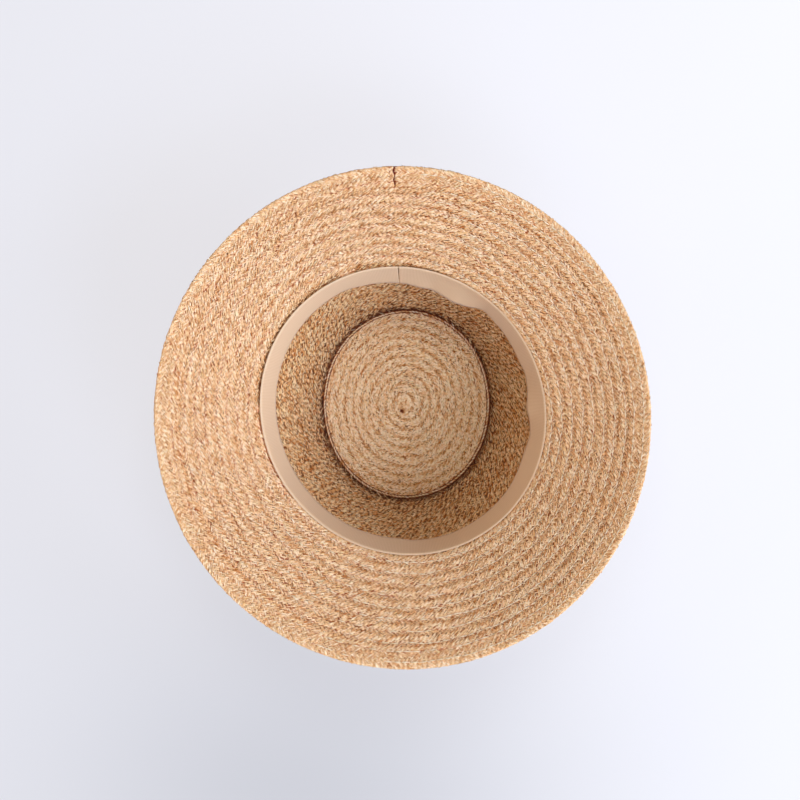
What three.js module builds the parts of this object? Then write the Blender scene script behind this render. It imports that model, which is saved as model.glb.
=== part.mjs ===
import * as THREE from 'three';
import { mergeVertices } from 'three/addons/utils/BufferGeometryUtils.js';

// A bucket hat of plaited raffia, lying crown down with its open side up. Millimetres.
// +Z runs from the flat of the tip up to the brim, and +Y points to the back of the head.

// Driving dimensions
const WALL = 2.0; // one layer of sewn raffia plait
const LAP = 0.8; // step where one row of plait is sewn over the row before it
const STEP_RUN = 0.5; // length of that step along the wall
const GAP = 0.3; // clearance between neighbouring pieces
const CROWN_HEIGHT = 92; // floor to the fold between crown and brim
const BRIM_SLANT = 71; // fold to rim, along the wall
const RIM_BAND = 14.2; // two rows of plait that finish the rim
const CORNER_RUN = 4; // how far the bend between tip and side reaches each way
const FOLD_RUN = 3; // the same for the bend between side and brim
const WELT = { fromCorner: 1.7, width: 3.4, height: 1.8, shoulder: 1.2 }; // inside the corner
const RIBBON = { fromFold: 1.5, width: 22, thickness: 1.0, clearance: 0.6 };
const ROWS = { tip: 10, side: 14, brim: 8, rim: 2 };
const BACK = 92; // direction of the two seams at the back, in degrees
const SEAM_SLIT = 0.2; // half the opening between two butted ends, in degrees
const FACETS = 40; // flat sides in one turn
const RIBBON_FACETS = 80;
const RIBBON_LEVELS = 4; // edges across the ribbon that can bow
const RIBBON_BOW = 1.5; // power by which a wave grows from the sewn edge to the free one

// The ovals that the middle of the wall passes through: mean radius, how far it is drawn
// out or in, the direction in degrees that it is drawn out along, and where its centre is.
const OVALS = {
  corner: { radius: 62.5, drawn: 3.8, along: 90, centreX: 0.6, centreY: 0 },
  fold: { radius: 92.9, drawn: 2.4, along: -49, centreX: 0, centreY: 0 },
  rim: { radius: 152.9, drawn: 1.5, along: -82, centreX: 0.5, centreY: -3.2 },
};

// Waves in the ribbon's free edge: direction and half width in degrees, height off the wall.
const WAVES = [
  { at: 66, reach: 12, height: 7.0 },
  { at: 83, reach: 11, height: 4.6 },
  { at: 98, reach: 14, height: 2.0 },
  { at: 22, reach: 7, height: 1.2 },
  { at: 0, reach: 9, height: 3.6 },
  { at: 340, reach: 9, height: 2.0 },
  { at: 267, reach: 8, height: 1.6 },
];

const RAFFIA = { color: 0xdcb688, roughness: 0.72, metalness: 0 };
const GROSGRAIN = { color: 0xd6bca4, roughness: 0.85, metalness: 0 };

// Stations count the zones of the wall: 0 to 1 across the tip, 1 to 2 up the side of the
// crown and 2 to 3 out over the brim.
const CORNER = 1;
const FOLD = 2;
const RIM = 3;

const STATION_NUDGE = 0.002; // small step that finds the wall's direction
const MERGE_DISTANCE = 1e-4; // corners closer than this are one

const radians = THREE.MathUtils.degToRad;

function oval({ radius, drawn, along, centreX, centreY }, angle) {
  const stretch = drawn * Math.cos(2 * (angle - radians(along)));
  return radius + stretch + centreX * Math.cos(angle) + centreY * Math.sin(angle);
}

// The turning points of the wall's middle line at one angle, as (distance out, height).
function turningPoints(angle) {
  const foldRadius = oval(OVALS.fold, angle);
  const rimRadius = oval(OVALS.rim, angle);
  const rise = Math.sqrt(BRIM_SLANT ** 2 - (rimRadius - foldRadius) ** 2);
  return [
    new THREE.Vector2(0, WALL / 2),
    new THREE.Vector2(oval(OVALS.corner, angle), WALL / 2),
    new THREE.Vector2(foldRadius, CROWN_HEIGHT),
    new THREE.Vector2(rimRadius, CROWN_HEIGHT + rise),
  ];
}

function zoneLengths(angle) {
  const points = turningPoints(angle);
  return points.slice(1).map((point, i) => point.distanceTo(points[i]));
}

// A bend of parabolic shape, tangent to both straights at `run` from the turning point.
function rounding(before, turn, after, distance, run) {
  const change = after.clone().sub(turn).normalize().sub(turn.clone().sub(before).normalize());
  const inside = Math.max(0, run - Math.abs(distance));
  return change.multiplyScalar((inside * inside) / (4 * run));
}

function middleLine(angle, station) {
  const points = turningPoints(angle);
  const lengths = zoneLengths(angle);
  const zone = Math.min(Math.floor(station), FOLD);
  const spot = points[zone].clone().lerp(points[zone + 1], station - zone);
  const run = { [CORNER]: CORNER_RUN, [FOLD]: FOLD_RUN };
  for (const turn of [CORNER, FOLD]) {
    const side = station < turn ? lengths[turn - 1] : lengths[turn];
    const distance = (station - turn) * side;
    spot.add(rounding(points[turn - 1], points[turn], points[turn + 1], distance, run[turn]));
  }
  return spot;
}

// A point at `lift` from the middle of the wall, measured towards the open side of the hat.
function place(angle, station, lift) {
  const before = middleLine(angle, Math.max(0, station - STATION_NUDGE));
  const after = middleLine(angle, Math.min(RIM, station + STATION_NUDGE));
  const forward = after.sub(before).normalize();
  const spot = middleLine(angle, station);
  const out = spot.x - forward.y * lift;
  return [out * Math.cos(angle), out * Math.sin(angle), spot.y + forward.x * lift];
}

const MEAN_LENGTH = zoneLengths(0).map((length, i) => (length + zoneLengths(Math.PI / 2)[i]) / 2);

// The station at a distance along the wall from a turning point.
function stationAt(turn, distance) {
  return turn + distance / MEAN_LENGTH[distance < 0 ? turn - 1 : turn];
}

// Outline of lapped rows: each row starts proud of the wall where it covers the last one,
// and leans back to where the next one covers it. Both faces of the wall step alike.
function lappedRows(from, to, rows, flatUnderside = false) {
  const step = (to - from) / rows;
  const ease = STEP_RUN / 2 / MEAN_LENGTH[Math.floor(from)];
  const openSide = [];
  const underside = [];
  for (let row = 0; row < rows; row += 1) {
    const start = from + row * step + (row > 0 ? ease : 0);
    const end = from + (row + 1) * step - (row < rows - 1 ? ease : 0);
    openSide.push({ station: start, lift: (WALL + LAP) / 2 }, { station: end, lift: (WALL - LAP) / 2 });
    underside.push({ station: start, lift: (LAP - WALL) / 2 }, { station: end, lift: -(LAP + WALL) / 2 });
  }
  const flat = [{ station: from, lift: -WALL / 2 }, { station: to, lift: -WALL / 2 }];
  return openSide.concat((flatUnderside ? flat : underside).reverse());
}

function turn(facets) {
  return Array.from({ length: facets }, (_, i) => radians(BACK + (360 * i) / facets));
}

// The same turn cut open at the back, its two ends a slit apart.
function cutTurn(facets) {
  const angles = turn(facets);
  angles[0] += radians(SEAM_SLIT);
  return angles.concat(radians(BACK + 360 - SEAM_SLIT));
}

// Sweeps an outline of stations and lifts round the hat. A whole turn closes on itself, and
// a cut one gets a face at each end. `liftOf` may bow the outline by angle.
function sweep(outline, angles, whole, liftOf = (corner) => corner.lift) {
  const positions = angles.flatMap((angle) =>
    outline.flatMap((corner) => place(angle, corner.station, liftOf(corner, angle))));
  const count = outline.length;
  const indices = [];
  for (let i = 0; i < (whole ? angles.length : angles.length - 1); i += 1) {
    const here = i * count;
    const there = ((i + 1) % angles.length) * count;
    for (let j = 0; j < count; j += 1) {
      const next = (j + 1) % count;
      indices.push(here + j, here + next, there + next, here + j, there + next, there + j);
    }
  }
  if (!whole) {
    const toMillimetres = MEAN_LENGTH[CORNER];
    const flatOutline = outline.map(({ station, lift }) =>
      new THREE.Vector2(station * toMillimetres, lift));
    const last = (angles.length - 1) * count;
    for (const [a, b, c] of THREE.ShapeUtils.triangulateShape(flatOutline, [])) {
      indices.push(a, b, c, last + a, last + c, last + b);
    }
  }
  return closedBody(positions, indices);
}

// Merges corners that coincide, as at the centre of the tip, and drops collapsed faces.
function closedBody(positions, indices) {
  const loose = new THREE.BufferGeometry();
  loose.setAttribute('position', new THREE.Float32BufferAttribute(positions, 3));
  loose.setIndex(indices);
  const body = mergeVertices(loose, MERGE_DISTANCE);
  const corners = Array.from(body.index.array);
  const kept = [];
  for (let i = 0; i < corners.length; i += 3) {
    const [a, b, c] = corners.slice(i, i + 3);
    if (a !== b && b !== c && c !== a) {
      kept.push(a, b, c);
    }
  }
  body.setIndex(kept);
  body.computeVertexNormals();
  return body;
}

// Flat oval of spirally sewn plait. Its outer face is the flat that the hat rests on.
function crownTip() {
  const outline = lappedRows(0, stationAt(CORNER, -CORNER_RUN), ROWS.tip, true);
  return sweep(outline, turn(FACETS), true);
}

// Corded seam that stands up inside the corner, over the joint of tip and side.
function tipWelt() {
  const { fromCorner, width, height, shoulder } = WELT;
  const bottom = (WALL + LAP) / 2 + GAP;
  const near = stationAt(CORNER, -fromCorner);
  const far = stationAt(CORNER, -fromCorner - width);
  const outline = [
    { station: far, lift: bottom },
    { station: far, lift: bottom + shoulder },
    { station: (far + near) / 2, lift: bottom + height },
    { station: near, lift: bottom + shoulder },
    { station: near, lift: bottom },
  ];
  return sweep(outline, turn(FACETS), true);
}

// Flared wall of the crown, with the rounded corner that turns in under the tip.
function crownSide() {
  const from = stationAt(CORNER, -CORNER_RUN + GAP);
  const bendEnd = stationAt(CORNER, CORNER_RUN);
  const rows = lappedRows(bendEnd, stationAt(FOLD, -GAP / 2), ROWS.side);
  const bend = [from, (from + CORNER) / 2, CORNER, (CORNER + bendEnd) / 2];
  const inner = bend.map((station) => ({ station, lift: WALL / 2 }));
  const outer = bend.map((station) => ({ station, lift: -WALL / 2 }));
  return sweep([...inner, ...rows, ...outer.reverse()], turn(FACETS), true);
}

// Eight lapped rows from the fold out to the rim band.
function brim() {
  const outline = lappedRows(stationAt(FOLD, GAP / 2), stationAt(RIM, -RIM_BAND), ROWS.brim);
  return sweep(outline, turn(FACETS), true);
}

// Two rows sewn edge to edge round the rim, with their ends butted at the back.
function brimEdge() {
  const from = stationAt(RIM, -RIM_BAND + GAP);
  const rows = lappedRows(from, RIM, ROWS.rim);
  return sweep(rows, cutTurn(FACETS), false);
}

// Height of the ribbon's free edge off the wall at one angle.
function waveHeight(angle) {
  const degrees = THREE.MathUtils.radToDeg(angle);
  return WAVES.reduce((height, wave) => {
    const away = Math.abs(THREE.MathUtils.euclideanModulo(degrees - wave.at + 180, 360) - 180);
    const swell = away < wave.reach ? (1 + Math.cos((Math.PI * away) / wave.reach)) / 2 : 0;
    return height + wave.height * swell;
  }, 0);
}

// Ribbon sewn just inside the fold, its free edge hanging down the wall in soft waves.
function sweatband() {
  const { fromFold, width, thickness, clearance } = RIBBON;
  const back = (WALL + LAP) / 2 + clearance;
  const levels = Array.from({ length: RIBBON_LEVELS }, (_, i) => i / (RIBBON_LEVELS - 1));
  const edge = (drop, lift) => ({ station: stationAt(FOLD, -fromFold - width * drop), lift, drop });
  const front = levels.map((drop) => edge(1 - drop, back + thickness));
  const rear = levels.map((drop) => edge(drop, back));
  const bow = ({ lift, drop }, angle) => lift + waveHeight(angle) * drop ** RIBBON_BOW;
  return sweep([...front, ...rear], cutTurn(RIBBON_FACETS), false, bow);
}

function piece(name, geometry, finish) {
  const mesh = new THREE.Mesh(geometry, new THREE.MeshStandardMaterial(finish));
  mesh.name = name;
  return mesh;
}

const group = new THREE.Group();
group.add(
  piece('crown_tip', crownTip(), RAFFIA),
  piece('tip_welt', tipWelt(), RAFFIA),
  piece('crown_side', crownSide(), RAFFIA),
  piece('brim', brim(), RAFFIA),
  piece('brim_edge', brimEdge(), RAFFIA),
  piece('sweatband', sweatband(), GROSGRAIN),
);

export default group;
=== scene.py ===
import math

import bpy
import numpy as np
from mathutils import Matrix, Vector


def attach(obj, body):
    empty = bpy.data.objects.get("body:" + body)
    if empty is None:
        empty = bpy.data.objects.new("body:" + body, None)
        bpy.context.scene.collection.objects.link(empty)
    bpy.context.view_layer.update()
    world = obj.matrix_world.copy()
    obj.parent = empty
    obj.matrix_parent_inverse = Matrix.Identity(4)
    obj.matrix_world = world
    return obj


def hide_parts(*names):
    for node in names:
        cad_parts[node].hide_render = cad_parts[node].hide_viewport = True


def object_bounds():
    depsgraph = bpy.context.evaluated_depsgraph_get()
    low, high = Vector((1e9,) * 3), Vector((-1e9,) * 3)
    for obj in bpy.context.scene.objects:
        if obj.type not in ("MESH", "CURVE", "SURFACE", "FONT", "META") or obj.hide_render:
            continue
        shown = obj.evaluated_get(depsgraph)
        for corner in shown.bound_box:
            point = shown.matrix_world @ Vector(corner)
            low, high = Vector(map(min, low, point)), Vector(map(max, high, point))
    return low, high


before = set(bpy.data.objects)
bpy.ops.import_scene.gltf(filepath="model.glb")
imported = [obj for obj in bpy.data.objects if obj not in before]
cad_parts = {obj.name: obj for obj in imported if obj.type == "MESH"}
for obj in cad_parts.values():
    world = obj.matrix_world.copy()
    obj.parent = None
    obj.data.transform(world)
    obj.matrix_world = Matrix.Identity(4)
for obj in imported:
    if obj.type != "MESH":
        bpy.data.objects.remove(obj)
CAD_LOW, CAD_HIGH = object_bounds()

# A bucket hat of plaited raffia, lying crown down with its open side up. The raffia plait is
# sewn round and round in lapped rows, and each crossing of its strips is a closed pillow here.
# Lengths are in millimetres until a mesh is made. Angles run counterclockwise seen from above.

MM = 0.001
TURN = 2 * math.pi

# The wall, with the same sizes as the solids
WALL = 2.0
CROWN_HEIGHT = 92.0
BRIM_SLANT = 71.0
RIM_BAND = 14.2
CORNER_RUN = 4.0
FOLD_RUN = 3.0
CORNER, FOLD, RIM = 1, 2, 3
BACK = math.radians(92)
OVALS = {
    "corner": {"radius": 62.5, "drawn": 3.8, "along": 90, "centre_x": 0.6, "centre_y": 0.0},
    "fold": {"radius": 92.9, "drawn": 2.4, "along": -49, "centre_x": 0.0, "centre_y": 0.0},
    "rim": {"radius": 152.9, "drawn": 1.5, "along": -82, "centre_x": 0.5, "centre_y": -3.2},
}
CORE = 0.32  # half thickness of the cloth of hidden strips between the two faces

# Rows of plait. "full" is the half that shows to its folded edge, "part" the half that runs
# under the next row, "tuck" how much farther that half goes on there, "across" the number of
# crossings from edge to edge, "long" the length of two crossings along the row, "lean" how far
# a strip runs along the row for each step across it, "lap" how much the row rises to its
# folded edge, "relief" how high a strip stands, "strip" the length and width of a strip where
# it shows at a crossing.
ROWS = {
    "tip": {"full": 3.5, "part": 2.5, "tuck": 0.8, "across": 6, "long": 2.7, "lean": 2.5,
            "lap": 0.85, "relief": 0.38, "strip": (3.9, 1.1)},
    "side": {"full": 3.9, "part": 2.8, "tuck": 0.9, "across": 4, "long": 3.4, "lean": 1.4,
             "lap": 1.1, "relief": 0.85, "strip": (5.3, 1.3)},
    "brim": {"full": 4.4, "part": 3.04, "tuck": 0.9, "across": 8, "long": 2.9, "lean": 1.9,
             "lap": 0.95, "relief": 0.54, "strip": (4.6, 0.96)},
    "inner_band": {"full": 3.1, "part": 3.9, "tuck": 0.8, "across": 8, "long": 2.9, "lean": 1.9,
                   "lap": 0.7, "relief": 0.46, "strip": (4.5, 0.98)},
    "outer_band": {"full": 2.7, "part": 4.4, "tuck": 0.0, "across": 8, "long": 2.9, "lean": 1.4,
                   "lap": 0.3, "relief": 0.42, "strip": (4.6, 1.0)},
}
# Distance in from the rim of the stitches of the rim band's rows, and of the outermost row of
# the spiral at angle 0
BAND_STITCHES = {"inner_band": 11.0, "outer_band": 4.4}
FIRST_STITCH = 16.8
BAND_ENDS = 0.002  # from the joint at the back to the first crossing of a band's row, in radians
# Turns of the spiral that each zone looks for its rows in, counted outward from that row. The
# tip has a spiral of its own, counted from its centre.
SPIRAL_TURNS = {"tip": (-1.0, 10.9), "side": (-22.2, -6.8), "brim": (-8.0, 1.0)}
# How far the spiral wanders outward from a true spiral, by direction in degrees
WANDER = [
    (0, 0.0), (40, -2.1), (50, -1.9), (61, -1.5), (72, -0.3), (90, 1.3), (101, 2.6),
    (115, 2.4), (133, 1.3), (155, 0.0), (171, 0.7), (189, 1.5), (216, 1.8), (252, 2.4),
    (279, 2.7), (306, 1.6), (333, 0.3), (360, 0.0),
]

# How much more or less the strips lean, by direction in degrees
LEANS = [(0, 0.9), (90, 1.0), (135, 1.05), (180, 0.92), (225, 0.95), (270, 0.85), (360, 0.9)]
# Small waves of the rows' folded edges: waves in one turn, and size. The rows of the tip and of
# the rim band have less of them.
EDGE_WAVES = [(23.3, 0.22), (37.7, 0.20), (61.9, 0.14)]
WAVE_SHARE = {"tip": 0.5, "inner_band": 0.7, "outer_band": 0.7}

# The two faces of the wall. On the outer one the crossings are drawn larger, their ends darken
# less and the pits between them stay paler, both painted shade ("least_depth", where 1 is the pale of
# the crest).
FACES = {
    "open": {"sign": 1, "larger": 1.0, "end_shade": 1.0, "least_depth": 0.0},
    "outer": {"sign": -1, "larger": 1.7, "end_shade": 0.4, "least_depth": 0.5},
}

# One crossing, where a strip shows between those it dives under: a pillow with two points on
# its ridge, two low ends and two low sides. Along and across are shares of half its length
# and width, low is how far down the strip's relief the point lies.
CROSSING = [(0.35, 0.0, 0.0), (-0.35, 0.0, 0.0), (1.0, 0.0, 1.0), (0.0, 1.0, 0.85),
            (-1.0, 0.0, 1.0), (0.0, -1.0, 0.85)]
CROSSING_FACES = [(0, 2, 3), (0, 3, 1), (1, 3, 4), (1, 4, 5), (1, 5, 0), (0, 5, 2),
                  (2, 5, 4), (2, 4, 3)]
# What the strips of one lean have more of where they lie on top, with a share of it at the seam
# and all of it at the row's edge
ON_TOP = {"length": 0.26, "turn": 0.15, "height": 0.10, "at_seam": 0.55, "to_edge": 0.45}
# How unevenly hand plaiting lays the strips: shares of their length and width, radians of turn,
# millimetres of place and height, and the tone of each point
UNEVEN = {"length": 0.12, "width": 0.12, "turn": 0.06, "ahead": 0.10, "aside": 0.1,
          "along_row": 0.16, "across_row": 0.09, "height": 0.09, "point": 0.04, "tone": 0.08}
# Bumps where strips turn over the row's folded edge, of so many kinds between the least and the
# most share of their depth. They bulge farther at the rim and rise by a share of their bulge.
# On the outer face the rim's edge is drawn in instead.
SCALLOP = {"every": 3.7, "deep": 0.55, "at_rim": 4.2, "least": 0.3, "most": 1.3, "kinds": 997,
           "rise": 0.35, "drawn_in": 0.8}
PULLED_IN = {"deep": 0.22, "wide": 0.8}  # the stitches pull the plait in along the seam
ROUNDED_OFF = 0.30  # at the row's edges
# A sunk strip lies lower and gets painted shade: its tone is darker
SUNK = {"down": 0.5, "darker": 0.4}  # a strip that lies below the others
OVER_CORE = {"ridge": 0.06, "low": -0.15}  # the least height of a pillow's points
# Sewing thread. It lies proud of the plait, and a stitch varies in length, slant and place.
STITCH = {"pitch": 5.4, "length": 5.2, "thread": 0.82, "proud": 0.26, "flattened": 1.2,
          "shortest": 0.85, "longest": 1.06, "slant": 0.12, "stray": 0.08}
# A stitch is a spindle: its rings' places along it, their girth and how far they dive, as well
# as the sides of a ring and where round the thread they start
SPINDLE = {"along": [-0.5, 0.0, 0.5], "girth": [0.4, 1.0, 0.4], "dive": [-0.25, 0.0, -0.25],
           "sides": 3, "start": 0.25}
# By direction, the share of the stitches on the open face that the plait does not cover. On the
# tip and the side it covers them all.
THREAD_SEEN = [(0, 1.0), (50, 0.95), (72, 0.5), (85, 0.1), (95, 0.0), (215, 0.0), (235, 0.15),
               (255, 0.45), (280, 0.85), (300, 1.0), (360, 1.0)]
# Grooves: beside the ribbon's upper edge, beside the welt on the tip, where it is shallower, and
# at the foot of the side. They deepen over "edge".
GROOVE = {"deep": 1.0, "at_ribbon": (-1.9, -1.1), "at_welt": 3.5, "on_tip": 0.6, "at_foot": 0.5,
          "edge": 0.5}
SOFT_EDGE = 0.4  # over which the groove at the ribbon and the painted shade beside the welt end
# The brim's last row dives under the rim band, from a little inside the band's edge
UNDER_BAND = {"deep": 0.9, "from_edge": 0.8, "over": 1.2}
# By direction, how much of the groove beside the ribbon there is
GROOVE_AT_RIBBON = [(0, 0.0), (98, 0.0), (116, 1.0), (205, 1.0), (228, 0.0), (360, 0.0)]
RIM_JOINT = {"gap": 0.16, "sway": 0.5, "sways_every": 0.9}  # the rim band's ends butted at the back

# Grosgrain ribbon inside the opening
RIBBON = {"from_fold": 1.5, "width": 22.0, "thickness": 0.55, "lift": 1.75}
SELVAGE_THICKNESS = 0.3  # of the ribbon's two edges, as a share of its own
RIBBON_GAP = 0.0025  # half the gap where its ends meet, in radians
# The side's rows that the ribbon hides for good, by the distance of their stitches from the
# fold, wherever its free edge stands off the wall less than "close"
HIDDEN = {"from": -19.0, "to": -6.5, "close": 1.5}
# How far the ribbon's free edge stands off the wall, by direction in degrees
RIBBON_WAVES = [
    (0, 4.2), (10, 1.5), (17, 0.2), (22, 1.3), (34, 0.8), (45, 0.7), (52, 0.3), (58, 5.2),
    (65, 7.8), (72, 6.4), (77, 4.9), (82, 5.6), (90, 3.9), (107, 2.0), (118, 0.2), (180, 0.0),
    (245, 0.0), (258, 0.7), (267, 1.3), (275, 0.3), (290, 0.1), (310, 0.5), (325, 0.7),
    (340, 2.2), (348, 0.6), (355, 1.8), (360, 4.2),
]

# How far the strips' tones differ, their usual tone, and the share of strips that lie sunk. The
# usual tone is in part painted light: highest on the tip, which lies in the crown's shade.
TONE_SPREAD = {"tip": 0.24, "side": 0.34, "brim": 0.17, "inner_band": 0.17, "outer_band": 0.16}
TONE = {"tip": 1.0, "side": 0.92, "brim": 0.80, "inner_band": 0.74, "outer_band": 0.72}
# Painted shade: how much darker a strip is where it dives under the next, and at the row's edges
END_SHADE = {"tip": 0.30, "side": 0.85, "brim": 0.38, "inner_band": 0.36, "outer_band": 0.3}
EDGE_SHADE = {"tip": 0.5, "side": 0.25, "brim": 0.34, "inner_band": 0.3, "outer_band": 0.0}
EDGE_SHADE_POWER = {"tip": 3, "side": 3, "brim": 5, "inner_band": 5, "outer_band": 5}
SUNK_SHARE = {"tip": 0.03, "side": 0.16, "brim": 0.03, "inner_band": 0.03, "outer_band": 0.02}

# How much of the pale the crevice takes as painted shade, where the edge of a row runs under the next
# one
CREVICE = {"tip": 0.7, "side": 0.6, "brim": 0.8, "inner_band": 0.8, "outer_band": 0.0}
SPECK = {"place": (-2.6, -4.9), "radius": 1.3}  # a burnt spot on the tip
# How much painted shade darkens the strips beside the welt: a band on the tip, and shade
# that fades over some millimetres of the tip and of the side
PAINTED_WELT_SHADE = {"band": 1.2, "tip": [(0.2, 5.0)], "side": [(0.3, 2.5), (0.3, 12.0)]}
# Near the fold the side's strips lie in the open light, so their pits and ends shade less, but
# not in the groove, where they are pressed down farther than "pressed"
NEAR_FOLD = {"from": -2.5, "over": 1.5, "paler": 0.35, "ends_paler": 0.5, "pressed": -0.1}
# The depth tag, which sets the painted shade, 1 on a strip's crest: what a pit has, what is gained up
# to the crest over how many millimetres, and what each millimetre of a groove takes away
DEPTH = {"pit": 0.3, "gain": 0.7, "over": 0.7, "groove": 0.9}

RANDOM = np.random.default_rng(57)


# ---------------------------------------------------------------- shape of the wall

def oval(name, angle):
    """Distance out of the corner, the fold or the rim."""
    size = OVALS[name]
    stretch = size["drawn"] * np.cos(2 * (angle - math.radians(size["along"])))
    shift = size["centre_x"] * np.cos(angle) + size["centre_y"] * np.sin(angle)
    return size["radius"] + stretch + shift


def turning_points(angle):
    """The points where the wall's middle line turns, as (distance out, height)."""
    corner, fold, rim = (oval(name, angle) for name in ("corner", "fold", "rim"))
    rise = np.sqrt(BRIM_SLANT ** 2 - (rim - fold) ** 2)
    zero = np.zeros_like(angle)
    return [
        np.stack([zero, zero + WALL / 2], -1),
        np.stack([corner, zero + WALL / 2], -1),
        np.stack([fold, zero + CROWN_HEIGHT], -1),
        np.stack([rim, CROWN_HEIGHT + rise], -1),
    ]


def zone_lengths(points):
    """Lengths of the tip, the side and the brim between the turning points."""
    return [np.linalg.norm(points[i + 1] - points[i], axis=-1) for i in range(3)]


def middle_line(angle, station):
    """Stations 0 to 1 cross the tip, 1 to 2 go up the side and 2 to 3 out over the brim."""
    points = turning_points(angle)
    lengths = zone_lengths(points)
    zone = np.clip(np.floor(station).astype(int), 0, 2)
    start = np.choose(zone[..., None], points[:3])
    end = np.choose(zone[..., None], points[1:])
    spot = start + (end - start) * (station - zone)[..., None]
    for corner, run in ((CORNER, CORNER_RUN), (FOLD, FOLD_RUN)):
        side = np.where(station < corner, lengths[corner - 1], lengths[corner])
        inside = np.maximum(0, run - np.abs((station - corner) * side))
        before = (points[corner] - points[corner - 1]) / lengths[corner - 1][..., None]
        after = (points[corner + 1] - points[corner]) / lengths[corner][..., None]
        spot = spot + (after - before) * (inside ** 2 / (4 * run))[..., None]
    return spot


def on_wall(angle, station, lift):
    """Points at `lift` from the middle of the wall, measured towards the open side."""
    nudge = 0.002
    forward = middle_line(angle, np.minimum(RIM, station + nudge))
    forward = forward - middle_line(angle, np.maximum(0, station - nudge))
    forward /= np.linalg.norm(forward, axis=-1, keepdims=True)
    spot = middle_line(angle, np.minimum(RIM, station))
    beyond = np.maximum(0, station - RIM) * BRIM_SLANT
    out = spot[..., 0] - forward[..., 1] * lift + forward[..., 0] * beyond
    height = spot[..., 1] + forward[..., 0] * lift + forward[..., 1] * beyond
    return np.stack([out * np.cos(angle), out * np.sin(angle), height], -1)


def above_floor(height):
    """Presses together what would stick out below the crown's flat face."""
    soft, lowest = 0.33, 0.02
    pressed = lowest + soft * np.exp((height - lowest - soft) / soft)
    return np.where(height < soft + lowest, pressed, height)


def station_on_tip(angle, distance):
    """The station at a distance from the tip's centre, the same in every direction."""
    centre = 0.2
    return np.maximum(distance, centre) / OVALS["corner"]["radius"]


def station_beyond_fold(angle, distance):
    """The station at a distance along the wall from the fold, less than 0 on the crown."""
    tip, side, _ = zone_lengths(turning_points(angle))
    on_side = np.where(distance < -side, CORNER + (distance + side) / tip, FOLD + distance / side)
    return np.where(distance < 0, on_side, FOLD + distance / BRIM_SLANT)


def by_direction(table, angle):
    """The value at an angle from a table of (degrees, value)."""
    degrees, values = np.array(table, float).T
    return np.interp(np.degrees(angle) % 360, degrees, values)


def smooth_by_direction(table, angle, spread=3.0):
    """The table's value at an angle, with its corners rounded over `spread` degrees."""
    steps = np.radians(np.linspace(-spread, spread, 7))
    weights = np.array([1, 2, 3, 4, 3, 2, 1], float)
    values = sum(w * by_direction(table, angle + s) for w, s in zip(weights, steps))
    return values / weights.sum()


# ---------------------------------------------------------------- meshes

def mesh_piece(name, points, faces, tags=None, smooth=True):
    """A mesh object from points in millimetres and arrays of faces of equal size."""
    mesh = bpy.data.meshes.new(name)
    points = np.asarray(points, float).reshape(-1, 3)
    loops = np.concatenate([block.ravel() for block in faces])
    sizes = np.concatenate([np.full(len(block), block.shape[1]) for block in faces])
    mesh.vertices.add(len(points))
    mesh.vertices.foreach_set("co", (points * MM).ravel())
    mesh.loops.add(len(loops))
    mesh.loops.foreach_set("vertex_index", loops)
    mesh.polygons.add(len(sizes))
    mesh.polygons.foreach_set("loop_start", np.concatenate([[0], np.cumsum(sizes)[:-1]]))
    for tag, values in (tags or {}).items():
        values = np.asarray(values, float)
        kind = "FLOAT_VECTOR" if values.shape[-1] == 3 and values.ndim > 1 else "FLOAT"
        layer = mesh.attributes.new(tag, kind, "POINT")
        layer.data.foreach_set("vector" if kind == "FLOAT_VECTOR" else "value", values.ravel())
    mesh.update(calc_edges=True)
    if smooth:
        mesh.shade_smooth()
    piece = bpy.data.objects.new(name, mesh)
    bpy.context.scene.collection.objects.link(piece)
    return piece


def tube_faces(count, rings, corners):
    """Faces of `count` closed tubes, each of `rings` rings with `corners` points."""
    ring, corner = np.meshgrid(np.arange(rings - 1), np.arange(corners), indexing="ij")
    after = (corner + 1) % corners
    quads = np.stack([ring * corners + corner, ring * corners + after,
                      (ring + 1) * corners + after, (ring + 1) * corners + corner], -1)
    starts = (np.arange(count) * rings * corners)[:, None, None]
    tubes = (quads.reshape(1, -1, 4) + starts).reshape(-1, 4)
    first = np.arange(corners)[::-1].reshape(1, 1, -1)
    last = np.arange(corners).reshape(1, 1, -1) + (rings - 1) * corners
    return [tubes] + [(cap + starts).reshape(-1, corners) for cap in (first, last)]


def grid_faces(rows, columns, offset=0, flip=False, wrap=True):
    """Faces of a grid whose columns go round the hat and may close on themselves."""
    row, column = np.meshgrid(np.arange(rows - 1), np.arange(columns - (not wrap)), indexing="ij")
    after = (column + 1) % columns
    quads = np.stack([row * columns + column, row * columns + after,
                      (row + 1) * columns + after, (row + 1) * columns + column], -1)
    quads = quads.reshape(-1, 4) + offset
    return quads[:, ::-1] if flip else quads


# ---------------------------------------------------------------- rows of plait

def edge_wave(angle):
    """How far the folded edge of a row strays from its line."""
    return sum(size * np.sin(waves * angle + 2 * waves) for waves, size in EDGE_WAVES)


def spiral_edge(angle):
    """Distance from the fold to the inner edge of the spiral row at an unwound angle."""
    row = ROWS["brim"]
    pitch_out = row["full"] + row["part"]
    wander = smooth_by_direction(WANDER, angle, spread=6.0)
    stitch = BRIM_SLANT - FIRST_STITCH + pitch_out * angle / TURN
    edge = stitch + wander - row["full"] + edge_wave(angle)
    pitch_in = ROWS["side"]["full"] + ROWS["side"]["part"]
    return np.where(edge > 0, edge, edge * pitch_in / pitch_out)


def tip_edge(angle):
    """Distance from the tip's centre to the inner edge of its spiral row."""
    pitch = ROWS["tip"]["full"] + ROWS["tip"]["part"]
    return np.maximum(0, pitch * angle / TURN + WAVE_SHARE["tip"] * edge_wave(angle))


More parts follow.
